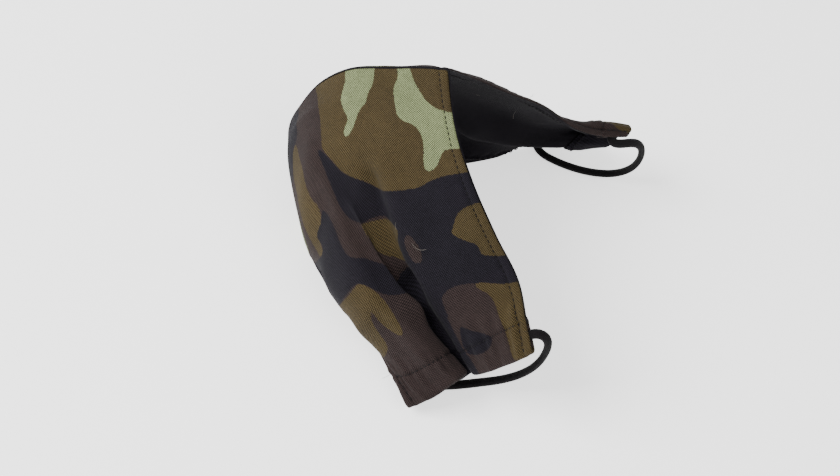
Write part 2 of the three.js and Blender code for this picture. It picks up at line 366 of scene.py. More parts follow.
CLOTH_CLEARANCE = 0.03  # gaps kept above the table, in millimetres
THREAD_CLEARANCE = 0.28
LOOP_CLEARANCE = 0.05
THREAD_SIDES = 6
THREAD_SIDEWAYS = (0.31, 0.22, 0.92)  # crossed with a thread's run to place its section


def keep_above_table(points, clearance):
    points[:, 2] = np.maximum(points[:, 2], clearance)


def running_length(path):
    """Distance along a path to each of its points."""
    return np.concatenate([[0], np.cumsum(np.linalg.norm(np.diff(path, axis=0), axis=1))])


def new_object(name, points, faces, attributes):
    """A mesh object from points in millimetres, with named numbers on its points."""
    mesh = bpy.data.meshes.new(name)
    faces = [np.asarray(block) for block in faces]
    corners = np.concatenate([block.ravel() for block in faces])
    totals = np.concatenate([np.full(len(block), block.shape[1]) for block in faces])
    mesh.vertices.add(len(points))
    mesh.vertices.foreach_set("co", (points * MM).ravel())
    mesh.loops.add(len(corners))
    mesh.loops.foreach_set("vertex_index", corners.astype(np.int32))
    mesh.polygons.add(len(totals))
    mesh.polygons.foreach_set("loop_start", (np.cumsum(totals) - totals).astype(np.int32))
    mesh.update(calc_edges=True)
    mesh.validate()
    for key, values in attributes.items():
        kind, field = ("FLOAT", "value") if values.ndim == 1 else ("FLOAT_VECTOR", "vector")
        data = mesh.attributes.new(key, kind, "POINT").data
        data.foreach_set(field, values.astype(np.float32).ravel())
    mesh.shade_smooth()
    piece = bpy.data.objects.new(name, mesh)
    bpy.context.scene.collection.objects.link(piece)
    return piece


def grid_faces(count_i, count_j, offset, flipped):
    """Four-sided faces between the points of a grid."""
    index = np.arange(count_i * count_j).reshape(count_i, count_j) + offset
    corners = [index[:-1, :-1], index[1:, :-1], index[1:, 1:], index[:-1, 1:]]
    quads = np.stack(corners, -1).reshape(-1, 4)
    return quads[:, ::-1] if flipped else quads


def rim_loop(count_i, count_j):
    """The points round the edge of a grid, in order."""
    index = np.arange(count_i * count_j).reshape(count_i, count_j)
    return np.concatenate([index[:-1, 0], index[-1, :-1], index[:0:-1, -1], index[0, :0:-1]])


def shell_object(name, middle, thickness, half, attributes):
    """A closed sheet of cloth around a grid of middle points."""
    count_i, count_j = middle.shape[:2]
    normals = sheet_normals(middle, half)
    outside = middle + normals * thickness / 2
    inside = middle - normals * thickness / 2
    points = np.concatenate([outside.reshape(-1, 3), inside.reshape(-1, 3)])
    keep_above_table(points, CLOTH_CLEARANCE)
    left = HALVES[half][1] > 0
    size = count_i * count_j
    rim = rim_loop(count_i, count_j)
    after = np.roll(rim, -1)
    wall = np.stack([rim, rim + size, after + size, after], -1)
    faces = [
        grid_faces(count_i, count_j, 0, left),
        grid_faces(count_i, count_j, size, not left),
        wall if left else wall[:, ::-1],
    ]
    doubled = {
        key: np.concatenate([values.reshape((size,) + values.shape[2:])] * 2)
        for key, values in attributes.items()
    }
    return new_object(name, points, faces, doubled)


def tube_sections(path, widths, heights, across, sides):
    """Rings of an oval section along a path. across gives the width direction at each point."""
    tangent = unit(np.gradient(path, axis=0))
    across = unit(across - tangent * (across * tangent).sum(-1, keepdims=True))
    up = np.cross(tangent, across)
    angle = np.arange(sides) * 2 * np.pi / sides
    return (
        path[:, None]
        + across[:, None] * (np.cos(angle) * widths[:, None])[..., None]
        + up[:, None] * (np.sin(angle) * heights[:, None])[..., None]
    )


def tube_faces(rings, sides, offset=0):
    """Four-sided faces between the rings of a tube."""
    ring = np.arange(rings - 1)[:, None] * sides
    side = np.arange(sides)[None, :]
    after = (side + 1) % sides
    corners = [ring + side, ring + after, ring + sides + after, ring + sides + side]
    return np.stack(corners, -1).reshape(-1, 4) + offset


def tubes_object(name, paths, radius):
    """Round threads along several paths, tapered to a point at both ends, in one object."""
    points, quads, weave = [], [], []
    ring = np.arange(THREAD_SIDES)
    offset = 0
    for path in paths:
        count = len(path)
        share = np.linspace(-1, 1, count)
        radii = radius * np.sqrt(np.maximum(1 - share**6, 0.01))
        across = np.tile(np.cross(path[-1] - path[0], THREAD_SIDEWAYS), (count, 1))
        rings = tube_sections(path, radii, radii, across, THREAD_SIDES)
        points.append(rings.reshape(-1, 3))
        quads.append(tube_faces(count, THREAD_SIDES, offset))
        quads.append(cap_quads(ring[::-1] + offset))
        quads.append(cap_quads(ring + offset + (count - 1) * THREAD_SIDES))
        along = np.repeat(running_length(path), THREAD_SIDES)
        turn = np.tile(ring / THREAD_SIDES, count)
        weave.append(np.stack([along, turn, turn * 0], -1))
        offset += count * THREAD_SIDES
    return new_object(name, np.concatenate(points), quads, {"weave": np.concatenate(weave)})


def cap_quads(ring):
    """Closes a six-sided end with two four-sided faces."""
    return np.array([[ring[0], ring[1], ring[2], ring[3]], [ring[0], ring[3], ring[4], ring[5]]])


# ---- camouflage print

# Patches on the flat cloth of each half, in millimetres along the upper edge from the seam
# and down from it, painted in order over the purple brown ground.
LEFT_PRINT = [
    ("olive", [(-16, -16), (47, -16), (48.5, 12), (50, 22), (52, 28), (52.3, 35), (51.5, 45),
        (49.5, 55), (45, 60), (42, 66), (40, 70), (35, 74), (31, 77), (28, 75), (22, 73), (14, 71),
        (7, 72), (-16, 73)]),
    ("navy", [(47, -16), (103, -16), (101, 8), (98, 15), (95, 23), (93, 30), (92, 36), (92, 42),
        (94, 48), (104, 50), (92, 59), (75, 57), (60, 55), (57, 60), (58, 70), (57, 78), (52, 82),
        (45, 81), (38, 80), (30, 79.5), (35, 75), (41, 70), (44, 62), (50, 55), (51.5, 45),
        (52.3, 35), (52, 28), (50, 22), (48.5, 12)]),
    ("green", [(20, -16), (36, -16), (37, 8), (40, 12), (44, 15), (46.5, 20), (46, 23), (43, 23),
        (38, 21), (33, 20), (29, 21.5), (27, 24), (26, 28), (23.5, 30.5), (20, 30), (15, 29),
        (10, 28.5), (6, 25.5), (3, 24), (-5, 25), (-5, 18), (5, 17.5), (10, 16), (15, 14), (18, 11),
        (20, 6)]),
    ("green", [(-5, 34), (8, 38), (13, 42), (17, 44), (19, 48), (23, 52), (27, 55), (30, 60),
        (28, 61), (25.5, 59), (23, 56), (18, 57.5), (13, 57), (8, 54.5), (4, 52), (-5, 51.5)]),
    ("olive", [(62, -16), (90, -16), (88, 5), (86, 10), (85, 13), (81, 12), (79, 14), (77, 18),
        (74, 22), (72, 23), (70, 20), (66, 16), (64, 11), (62.5, 5)]),
    ("olive", [(103, -16), (134, -16), (134, 17), (118, 16.5), (112, 18), (106, 18), (101, 20),
        (98, 24), (95, 25), (96, 20), (99, 13), (101, 6)]),
    # This navy patch is partly print and partly painted shade: it is print to the right of the crease,
    # and painted shade where it covers the crease's valley, darkening the cloth where the fold's shadow
    # falls.
    ("navy", [(80, 52), (96, 50), (108, 51), (120, 50), (134, 50), (134, 78), (112, 77), (96, 75),
        (78, 66)]),
    ("navy", [(117, 28), (120, 29), (121.5, 35), (121, 45), (119, 50), (107, 46), (109, 42),
        (112, 38), (115, 32)]),
    ("brown", [(67, 46), (70, 43), (74, 42), (78, 43), (79.5, 46), (78, 50), (70, 50)]),
    ("olive", [(59, 60), (61, 55), (64, 50.5), (67, 51), (69, 56), (74, 57), (77, 58), (72, 63),
        (69, 66), (66, 69), (62, 72), (59, 73), (58, 68)]),
    ("navy", [(75, 71), (80, 69), (85, 69.5), (87, 73), (86, 80), (82, 86), (78, 90), (76, 95),
        (77, 101), (78, 108), (80, 115), (78, 143), (58, 143), (60, 114), (60, 108), (58, 105),
        (54, 108), (52, 105), (51, 99), (48, 95), (55, 92), (62, 93), (67, 92), (69, 88), (70, 82),
        (73, 77)]),
    ("olive", [(22, 95), (28, 95.5), (34, 94.5), (38, 97.5), (43, 98.5), (47, 96.5), (51, 99),
        (52, 104), (53.5, 107.5), (57, 106), (59.5, 107), (60, 113), (50, 113), (38, 110),
        (32, 110), (28, 105), (24, 101)]),
    ("navy", [(-5, 92), (10, 91), (20, 93), (24, 101), (30, 108), (33, 120), (26, 143), (-5, 143)]),
    ("green", [(38, 120), (45, 117), (52, 121), (55, 130), (52, 143), (40, 143), (36, 131)]),
    ("olive", [(78, 91), (82, 87), (87, 86), (93, 88), (99, 91), (101, 95), (98, 98), (92, 99),
        (87, 96.5), (90, 101), (95, 104), (102, 106), (105, 109), (108, 120), (106, 143), (82, 143),
        (80, 115), (78, 100), (76.5, 95)]),
]
RIGHT_PRINT = [
    ("olive", [(-4, 28), (14, 24), (26, 30), (38, 27), (50, 34), (55, 46), (48, 58), (36, 62),
        (30, 72), (18, 78), (6, 74), (-4, 76)]),
    ("navy", [(52, 14), (66, 10), (80, 16), (92, 14), (100, 22), (98, 34), (88, 42), (84, 54),
        (92, 64), (104, 66), (112, 76), (106, 88), (92, 92), (80, 86), (70, 90), (60, 100),
        (50, 98), (46, 86), (54, 76), (58, 64), (52, 54), (56, 44), (50, 34), (46, 24)]),
    ("green", [(-4, 34), (10, 32), (18, 38), (28, 37), (34, 44), (30, 52), (20, 52), (12, 58),
        (2, 56), (-4, 60)]),
    ("olive", [(70, 44), (78, 40), (84, 46), (80, 56), (72, 62), (64, 58), (64, 50)]),
    ("olive", [(112, 24), (120, 15), (125, 7), (132, 3), (152, 2), (152, 30), (138, 36), (124, 34),
        (114, 36)]),
    ("olive", [(18, 96), (32, 92), (44, 104), (58, 110), (70, 104), (82, 108), (90, 120), (86, 143),
        (52, 143), (40, 130), (26, 126), (16, 110)]),
    ("green", [(100, 96), (110, 92), (120, 98), (128, 94), (152, 100), (152, 116), (134, 118),
        (122, 112), (112, 116), (102, 110)]),
    ("navy", [(-4, 88), (6, 86), (14, 94), (12, 106), (20, 118), (22, 143), (-4, 143)]),
    ("navy", [(96, 118), (106, 122), (116, 132), (114, 143), (92, 143), (88, 130)]),
    ("green", [(58, 122), (66, 118), (74, 124), (72, 143), (56, 143)]),
    ("navy", [(118, 50), (130, 46), (152, 52), (152, 80), (138, 84), (126, 78), (118, 64)]),
]
PRINT = {"left": LEFT_PRINT, "right": RIGHT_PRINT}
PRINT_COLOURS = ("navy", "olive", "green")


def rounded(outline):
    """Cuts the corners of a closed outline twice, so it flows like a printed patch."""
    points = np.array(outline, float)
    for _ in range(2):
        after = np.roll(points, -1, axis=0)
        points = np.stack([0.75 * points + 0.25 * after, 0.25 * points + 0.75 * after], 1).reshape(-1, 2)
    return points


PRINT_REACH = 20.0  # no distance from a patch's edge is kept beyond this


def distance_inside(outline, x, y):
    """Distance from a closed outline in millimetres, positive inside."""
    nearest = np.full(x.shape, 1e9)
    inside = np.zeros(x.shape, bool)
    for (x0, y0), (x1, y1) in zip(outline, np.roll(outline, -1, axis=0)):
        dx, dy = x1 - x0, y1 - y0
        share = np.clip(((x - x0) * dx + (y - y0) * dy) / (dx * dx + dy * dy), 0, 1)
        nearest = np.minimum(nearest, np.hypot(x - x0 - share * dx, y - y0 - share * dy))
        if y0 != y1:
            inside ^= ((y0 > y) != (y1 > y)) & (x < (x1 - x0) * (y - y0) / (y1 - y0) + x0)
    return np.where(inside, nearest, -nearest)


def print_on(half, s, t):
    """How far each point lies inside each printed colour, in millimetres, at cloth places s and t."""
    reach = {name: np.full(s.shape, -PRINT_REACH) for name in PRINT_COLOURS}
    for painted, outline in PRINT[half]:
        patch = distance_inside(rounded(outline), s, t)
        for name in PRINT_COLOURS:
            if name == painted:
                reach[name] = np.maximum(reach[name], patch)
            else:
                reach[name] = np.minimum(reach[name], -patch)
    return {name: np.clip(values, -PRINT_REACH, PRINT_REACH) for name, values in reach.items()}


# ---- cloth pieces

# Distances of each layer's middle off the surface, positive away from the face. The strip is
# the tunnel's inner wall, and the hem is where it is stitched down.
OUTER_DISTANCE = 0.6
STRIP_DISTANCE = -2.5
HEM_DISTANCE = -1.62
LINING_DISTANCE = -0.62
OUTER_THICKNESS = 0.6
LINING_THICKNESS = 0.5

OUTER_START = 0.12  # distance of the outer cloth's first column from the seam
SEAM_DIP = 1.0  # how far the outer cloth goes in at the seam
SEAM_DIP_WIDTH = 0.8
SEAM_FINE = 2.4  # the columns are closer together up to here
LINING_START = -0.6  # both linings pass the seam, so no light shows through it
LINING_LAP = 1.5  # how far the lining goes past the tunnel's stitches
LINING_PEEK = 0.9  # how far it shows past the outer cloth's edges
EDGE_ROLL = 0.45
EDGE_RETURN = 1.4
MESH_STEP = 0.72


def smooth_step(low, high, x):
    """Rises smoothly from 0 at low to 1 at high."""
    share = np.clip((x - low) / (high - low), 0, 1)
    return share * share * (3 - 2 * share)


def outer_section():
    """The outer cloth across one half: in at the seam, flat, round the ear fold and back as the
    tunnel's inner wall. Gives place w along the surface, distance off it, and cloth length s.
    """
    radius = (OUTER_DISTANCE - STRIP_DISTANCE) / 2
    turn = UPPER_EDGE_LENGTH - radius
    fine = np.linspace(OUTER_START, SEAM_FINE, 7)[:-1]
    flat = np.concatenate([fine, np.arange(SEAM_FINE, turn, MESH_STEP)])
    dip = SEAM_DIP * bump(flat, SEAM_DIP_WIDTH)
    angle = np.linspace(0, np.pi, 9)[:-1]
    back = np.arange(turn, UPPER_EDGE_LENGTH - CASING_WIDTH, -MESH_STEP)
    hem = HEM_DISTANCE - STRIP_DISTANCE
    lift = hem * (1 - smooth_step(TUNNEL_STITCH - 1, TUNNEL_STITCH + 4, back))
    w = np.concatenate([flat, turn + radius * np.sin(angle), back])
    distance = np.concatenate([
        OUTER_DISTANCE - dip,
        (OUTER_DISTANCE + STRIP_DISTANCE) / 2 + radius * np.cos(angle),
        STRIP_DISTANCE + lift,
    ])
    lengths = np.hypot(np.diff(w), np.diff(distance))
    return w, distance, np.concatenate([[0], np.cumsum(lengths)])


def edge_rows(middle, half):
    """Adds the cloth that rolls over the upper and lower edges and returns inside. Also gives how
    many points it adds at each edge.
    """
    normals = sheet_normals(middle, half)
    down = np.gradient(middle, axis=1)
    angle = np.linspace(0, np.pi, 6)[1:]
    over = np.concatenate([EDGE_ROLL * np.sin(angle), [-EDGE_RETURN]])
    under = np.concatenate([EDGE_ROLL * (1 - np.cos(angle)), [2 * EDGE_ROLL]])

    def rolled(row, direction):
        out = unit(direction)[:, None] * over[None, :, None]
        return middle[:, row, None] + out - normals[:, row, None] * under[None, :, None]

    top = rolled(0, -down[:, 0])[:, ::-1]
    bottom = rolled(-1, down[:, -1])
    return np.concatenate([top, middle, bottom], axis=1), len(over)


def outer_cloth(half):
    """Camouflage cloth of one half, with its tunnel and its rolled edges."""
    w, distance, s = outer_section()
    rows = int(PRINT_DEPTH / MESH_STEP)
    inset = EDGE_ROLL / PRINT_DEPTH
    v = np.linspace(inset, 1 - inset, rows)
    middle = cloth_points(half, w[:, None], v[None, :], distance[:, None])
    middle, extra = edge_rows(middle, half)
    beyond = np.linspace(1, 4, extra) * EDGE_ROLL / PRINT_DEPTH
    v = np.concatenate([-beyond[::-1], v, 1 + beyond])
    depth = cloth_depth(w)
    s_grid = np.broadcast_to(s[:, None], middle.shape[:2])
    t_print = np.broadcast_to(v[None, :] * PRINT_DEPTH, middle.shape[:2])
    t_weave = (v[None, :] - 0.5) * depth[:, None]
    attributes = print_on(half, s_grid, t_print)
    attributes["weave"] = np.stack([s_grid, t_weave, np.zeros_like(s_grid)], -1)
    attributes["rim"] = np.minimum(v, 1 - v)[None, :] * depth[:, None]
    piece = shell_object(f"{half}_outer_cloth", middle, OUTER_THICKNESS, half, attributes)
    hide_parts(f"outer_{half}", f"{half}_ear_tunnel", "outer_centre_seam")
    return piece


def lining_cloth(half):
    """Black lining of one half, from the seam to the tunnel's stitches."""
    w = np.arange(LINING_START, TUNNEL_STITCH + LINING_LAP, MESH_STEP)
    peek = LINING_PEEK / PRINT_DEPTH
    v = np.linspace(-peek, 1 + peek, int(PRINT_DEPTH / MESH_STEP))
    depth = cloth_depth(w)
    rim = np.minimum(v, 1 - v)[None, :] * depth[:, None]
    distance = LINING_DISTANCE - 0.4 * bump(rim - 0.6, 1.8) + 0.25 * bump(w, 1.0)[:, None]
    middle = cloth_points(half, w[:, None], v[None, :], distance)
    s_grid = np.broadcast_to(w[:, None], middle.shape[:2])
    weave = np.stack([s_grid, (v[None, :] - 0.5) * depth[:, None], np.zeros_like(s_grid)], -1)
    attributes = {"weave": weave, "rim": rim}
    piece = shell_object(f"{half}_lining_cloth", middle, LINING_THICKNESS, half, attributes)
    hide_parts(f"lining_{half}", "lining_centre_seam")
    return piece


def bend_at_centre(piece):
    """Bakes the piece's placement into its points."""
    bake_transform(piece)


# ---- stitching

THREAD_RADIUS = 0.23
STITCH_GAP = 0.35  # cloth between one stitch and the next
TUNNEL_STITCH_LENGTH = 0.86 * STITCH_LENGTH
STITCH_ARCH = np.array([-0.28, 0.1, 0.2, 0.1, -0.28])  # rise of a stitch along its length
OUTER_FACE = OUTER_DISTANCE + OUTER_THICKNESS / 2
LINING_FACE = LINING_DISTANCE - LINING_THICKNESS / 2 - 0.1
HEM_FACE = HEM_DISTANCE - OUTER_THICKNESS / 2 - 0.05


def edge_stitches(half, lower):
    """Thread along an edge, seen outside on the camouflage and inside on the lining."""
    starts = np.arange(1.5, UPPER_EDGE_LENGTH - 2.5, STITCH_LENGTH)
    w = starts[:, None] + np.linspace(0, STITCH_LENGTH - STITCH_GAP, len(STITCH_ARCH))
    v = EDGE_STITCH_INSET / cloth_depth(w)
    v = 1 - v if lower else v
    outside = cloth_points(half, w, v, OUTER_FACE + STITCH_ARCH + 0 * w)
    lined = starts < TUNNEL_STITCH - STITCH_LENGTH
    inside = cloth_points(half, w[lined], v[lined], LINING_FACE - STITCH_ARCH + 0 * w[lined])
    stitched_piece(f"{half}_{'lower' if lower else 'upper'}_edge_thread", [*outside, *inside])


def tunnel_stitches(half):
    """Thread that holds the tunnel's hem, seen outside and on the strip inside."""
    depth = cloth_depth(TUNNEL_STITCH)
    starts = np.arange(3.0, depth - 4.5, TUNNEL_STITCH_LENGTH)
    reach = np.linspace(0, TUNNEL_STITCH_LENGTH - STITCH_GAP, len(STITCH_ARCH))
    t = starts[:, None] + reach
    w = np.full(t.shape, TUNNEL_STITCH)
    outside = cloth_points(half, w, t / depth, OUTER_FACE + STITCH_ARCH + 0 * t)
    inside = cloth_points(half, w, t / depth, HEM_FACE - STITCH_ARCH + 0 * t)
    stitched_piece(f"{half}_tunnel_thread", [*outside, *inside])


def stitched_piece(node, paths):
    """One line of stitches, which stands in for the CAD thread called node."""
    for path in paths:
        keep_above_table(path, THREAD_CLEARANCE)
    piece = tubes_object(f"{node}_stitches", paths, THREAD_RADIUS)
    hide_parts(node)
    piece.data.materials.append(THREAD)
    bend_at_centre(piece)


# ---- elastic

LOOP_STEP = 0.55  # about the distance between the path's points
LOOP_SIDES = 28
LOOP_ROUND = 1.9  # millimetres of elastic for each radian around it
EASE_REACH = 10  # steps to each side that a point of the path is averaged over
MOUTH_SHARE = 0.6  # how thick the elastic is where a mouth squeezes it
BRAID_YARNS = 7  # waves of the braid round the elastic, each way
BRAID_TURN = 1.9  # radians that the braid turns in each millimetre
BRAID_RELIEF = 0.1
BAND_THICKNESS = 1.4
BAND_COLUMNS = 9
BAND_ROWS = 150


def loop_path(half):
    """The free elastic's centre line at even steps, with both ends tucked into the mouths."""
    tuck = LOOP_TUCK / cloth_depth(TUNNEL_LINE)
    ends = np.array([tuck, 1 - tuck])
    tucked = cloth_points(half, np.full(2, TUNNEL_LINE), ends, TUNNEL_DISTANCE)
    route = np.array(LOOP_ROUTES[half][1:-1], float) - CLOTH_MIDDLE
    points = np.concatenate([tucked[:1], route, tucked[1:]])
    length = running_length(points)
    steps = int(length[-1] / LOOP_STEP)
    return eased(hermite(points, length, np.linspace(0, length[-1], steps)))


def eased(path):
    """Rounds the bends of a path of even steps and leaves its ends in place."""
    weights = bump(np.arange(-EASE_REACH, EASE_REACH + 1), 0.5 * EASE_REACH)
    weights = weights / weights.sum()
    before = 2 * path[:1] - path[EASE_REACH:0:-1]
    after = 2 * path[-1:] - path[-2:-EASE_REACH - 2:-1]
    longer = np.concatenate([before, path, after])
    return np.stack([np.convolve(axis, weights, "valid") for axis in longer.T], 1)


def carried_across(path, first, last):
    """Width direction along a path. It starts and ends flat against the cloth, and twists evenly
    between.
    """
    tangent = unit(np.gradient(path, axis=0))
    across = np.empty_like(path)
    across[0] = unit(first - tangent[0] * (first @ tangent[0]))
    for i in range(1, len(path)):
        carried = across[i - 1]
        across[i] = unit(carried - tangent[i] * (carried @ tangent[i]))
    goal = unit(last - tangent[-1] * (last @ tangent[-1]))
    up = np.cross(tangent, across)
    turn = math.atan2(goal @ up[-1], goal @ across[-1])
    turn = (turn + math.pi / 2) % math.pi - math.pi / 2
    angle = turn * smooth_step(0, 1, np.linspace(0, 1, len(path)))
    return across * np.cos(angle)[:, None] + up * np.sin(angle)[:, None]


def mouth_direction(half, v):
    """Direction along the surface, across the tunnel, at one of its mouths."""
    across = np.array([TUNNEL_LINE - 2, TUNNEL_LINE + 2])
    ends = surface(half, across / UPPER_EDGE_LENGTH, v)
    return unit(ends[1] - ends[0])


def ear_loop(half):
    """The free elastic of one half: an oval braid, with a fan of faces closing each end."""
    path = loop_path(half)
    count = len(path)
    across = carried_across(path, mouth_direction(half, 0.0), mouth_direction(half, 1.0))
    angle = np.arange(LOOP_SIDES) * 2 * np.pi / LOOP_SIDES
    run = running_length(path)
    free = smooth_step(0, LOOP_TUCK * 3, np.minimum(run, run[-1] - run))
    squeeze = MOUTH_SHARE + (1 - MOUTH_SHARE) * free
    widths = np.full(count, LOOP_WIDTH / 2)
    rings = tube_sections(path, widths, squeeze * LOOP_THICKNESS / 2, across, LOOP_SIDES)
    one_way = np.sin(run[:, None] * BRAID_TURN + BRAID_YARNS * angle)
    other_way = np.sin(run[:, None] * BRAID_TURN - BRAID_YARNS * angle)
    braid = np.abs(one_way) * np.abs(other_way)
    rings += (rings - path[:, None]) * (BRAID_RELIEF * braid - BRAID_RELIEF / 2)[..., None]
    points = rings.reshape(-1, 3)
    keep_above_table(points, LOOP_CLEARANCE)
    around = angle[None, :] * LOOP_ROUND
    weave = np.stack(np.broadcast_arrays(run[:, None], around, 0 * run[:, None]), -1)
    weave = np.concatenate([weave.reshape(-1, 3), np.zeros((2, 3))])
    faces = [
        tube_faces(count, LOOP_SIDES),
        end_fan(0, len(points)),
        end_fan((count - 1) * LOOP_SIDES, len(points) + 1)[:, ::-1],
    ]
    points = np.concatenate([points, path[:1], path[-1:]])
    piece = new_object(f"{half}_ear_loop_elastic", points, faces, {"weave": weave})
    piece.data.materials.append(ELASTIC)
    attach(piece, f"{half}_half")
    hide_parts(f"{half}_ear_loop")


def end_fan(first, centre):
    """Triangles from the elastic's end ring, which starts at point first, to a centre point."""
    ring = np.arange(LOOP_SIDES)
    after = (ring + 1) % LOOP_SIDES
    return np.stack([first + after, first + ring, np.full(LOOP_SIDES, centre)], -1)


def tunnel_elastic(half):
    """The part of the elastic that runs inside the tunnel."""
    w = np.linspace(TUNNEL_LINE - LOOP_WIDTH / 2, TUNNEL_LINE + LOOP_WIDTH / 2, BAND_COLUMNS)
    depth = cloth_depth(TUNNEL_LINE)
    v = np.linspace(LOOP_TUCK, depth - LOOP_TUCK, BAND_ROWS) / depth
    points = cloth_points(half, w[:, None], v[None, :], TUNNEL_DISTANCE)
    run = v * depth
    weave = np.stack(np.broadcast_arrays(run[None, :], w[:, None], 0 * w[:, None]), -1)
    name = f"{half}_tunnel_elastic_band"
    piece = shell_object(name, points, BAND_THICKNESS, half, {"weave": weave})
    piece.data.materials.append(ELASTIC)
    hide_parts(f"{half}_tunnel_elastic")
    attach(piece, f"{half}_half")


# ---- materials

class Shader:
    """Short way to build a node material."""

    def __init__(self, name, roughness, sheen=0.0):
        self.material = bpy.data.materials.new(name)
        self.material.use_nodes = True
        self.tree = self.material.node_tree
        self.surface = self.tree.nodes["Principled BSDF"]
        self.surface.inputs["Roughness"].default_value = roughness
        self.surface.inputs["Sheen Weight"].default_value = sheen
        self.surface.inputs["Sheen Roughness"].default_value = 0.45
        self.surface.inputs["Specular IOR Level"].default_value = 0.12

    def put(self, socket, value):
        """Links a node's output to a socket, or sets a plain value on it."""
        if isinstance(value, bpy.types.NodeSocket):
            self.tree.links.new(value, socket)
        else:
            socket.default_value = value

    def node(self, kind, inputs=(), **settings):
        node = self.tree.nodes.new("ShaderNode" + kind)
        for key, value in settings.items():
            setattr(node, key, value)
        for key, value in dict(inputs).items():
            self.put(node.inputs[key], value)
        return node

    def attribute(self, name, output="Fac"):
        node = self.node("Attribute", attribute_name=name, attribute_type="GEOMETRY")
        return node.outputs[output]

    def weave(self):
        """Places on the cloth or along a yarn, in millimetres."""
        return self.attribute("weave", "Vector")

    def axes(self, vector):
        """The first two parts of a vector."""
        return self.node("SeparateXYZ", {0: vector}).outputs[:2]

    def math(self, operation, a, b=0.0, c=0.0):
        return self.node("Math", {0: a, 1: b, 2: c}, operation=operation).outputs[0]

    def noise(self, vector, scale, detail=2.0, roughness=0.5):
        inputs = {"Vector": vector, "Scale": scale, "Detail": detail, "Roughness": roughness}
        return self.node("TexNoise", inputs).outputs["Fac"]

    def sine(self, value, times):
        return self.math("SINE", self.math("MULTIPLY", value, times))

    def wave(self, vector, turns, drift):
        """Even ripples over the cloth, with a little drift, from -1 to 1."""
        inputs = {0: vector, 1: (*turns, 0)}
        phase = self.node("VectorMath", inputs, operation="DOT_PRODUCT").outputs["Value"]
        return self.sine(self.math("MULTIPLY_ADD", drift, 0.4, phase), 2 * math.pi)

    def tone(self, start, parts):
        """A starting brightness plus a share of each pattern."""
        for pattern, share in parts:
            start = self.math("MULTIPLY_ADD", pattern, share, start)
        return start

    def mix(self, factor, a, b, blend_type="MIX"):
        node = self.node("Mix", data_type="RGBA", blend_type=blend_type)
        self.put(node.inputs[0], factor)
        self.put(node.inputs[6], a)
        self.put(node.inputs[7], b)
        return node.outputs[2]

    def remap(self, value, low, high, to_low, to_high):
        """Rises smoothly from to_low, where value is low, to to_high, where it is high."""
        inputs = {
            "Value": value, "From Min": low, "From Max": high, "To Min": to_low, "To Max": to_high,
        }
        return self.node("MapRange", inputs, interpolation_type="SMOOTHSTEP").outputs[0]

    def shaded(self, tint, amount):
        """A colour multiplied by a varying amount."""
        grey = self.node("CombineColor", {0: amount, 1: amount, 2: amount}).outputs[0]
        return self.mix(1.0, tint, grey, "MULTIPLY")

    def finish(self, tint, height, distance):
        """Sets the colour, and a relief whose height varies over a distance in metres."""
        self.put(self.surface.inputs["Base Color"], tint)
        relief = self.node("Bump", {"Height": height, "Distance": distance, "Strength": 1.0})
        self.put(self.surface.inputs["Normal"], relief.outputs[0])
        return self.material


def colour(red, green, blue):
    """A linear colour from eight-bit display values."""
    return tuple((value / 255) ** 2.2 for value in (red, green, blue)) + (1.0,)


# Twill: ribs and, across them, the yarns' floats, as turns per millimetre across and down.
RIB_TURNS = (1.45, -0.88)
FLOAT_TURNS = (0.5, 1.0)

PATCH_FADE = 0.22  # a patch's soft edge, in millimetres to each side
INK_SPREAD = {"navy": 0.3, "olive": 0.0, "green": 0.0}  # how far an ink creeps past its outline
RUB_WIDTH = 1.4  # millimetres of cloth along its edges that are rubbed pale
DARKEST = 0.12  # lowest brightness of the printed cloth
LINING_YARNS = 13.0  # radians of weave in each millimetre
BRAID_YARN_TURN = 5.2  # radians of braid in each millimetre
THREAD_TWIST = 9.0  # radians of twist in each millimetre of thread
THREAD_PLIES = 12.57  # radians of twist in one turn round the thread: two plies

PRINT_TINTS = {
    "brown": colour(42, 35, 34),
    "navy": colour(26, 24, 29),
    "olive": colour(57, 49, 33),
    "green": colour(98, 105, 76),
}


def camo_material():
    """Printed cotton twill: flowing patches, diagonal ribs, uneven dye and rubbed edges."""
    shader = Shader("camo_cloth", roughness=0.92, sheen=0.02)
    weave = shader.weave()
    ragged = shader.noise(weave, scale=1.1, detail=3.0, roughness=0.6)
    wobble = shader.math("MULTIPLY_ADD", ragged, 1.5, -0.75)
    tint = PRINT_TINTS["brown"]
    for name in PRINT_COLOURS:
        inside = shader.math("ADD", shader.attribute(name), wobble)
        low, high = -PATCH_FADE - INK_SPREAD[name], PATCH_FADE - INK_SPREAD[name]
        mask = shader.remap(inside, low, high, 0.0, 1.0)
        tint = shader.mix(mask, tint, PRINT_TINTS[name])
    drift = shader.noise(weave, scale=0.4)
    rib = shader.wave(weave, RIB_TURNS, drift)
    twill = shader.math("MULTIPLY_ADD", shader.wave(weave, FLOAT_TURNS, drift), 0.55, rib)
    speck = shader.noise(weave, scale=1.7, detail=3.0, roughness=0.75)
    mottle = shader.noise(weave, scale=0.28, detail=3.0, roughness=0.6)
    cloud = shader.noise(weave, scale=0.05, detail=3.0, roughness=0.55)
    tone = shader.tone(-0.66, [(twill, 0.85), (speck, 2.2), (mottle, 0.6), (cloud, 0.6)])
    rubbed = shader.remap(shader.attribute("rim"), 0.0, RUB_WIDTH, 0.22, 0.0)
    tone = shader.math("ADD", tone, shader.math("MULTIPLY", rubbed, speck))
    dyed = shader.shaded(tint, shader.math("MAXIMUM", tone, DARKEST))
    height = shader.math("MULTIPLY_ADD", speck, 1.2, twill)
    return shader.finish(dyed, height, distance=0.00007)


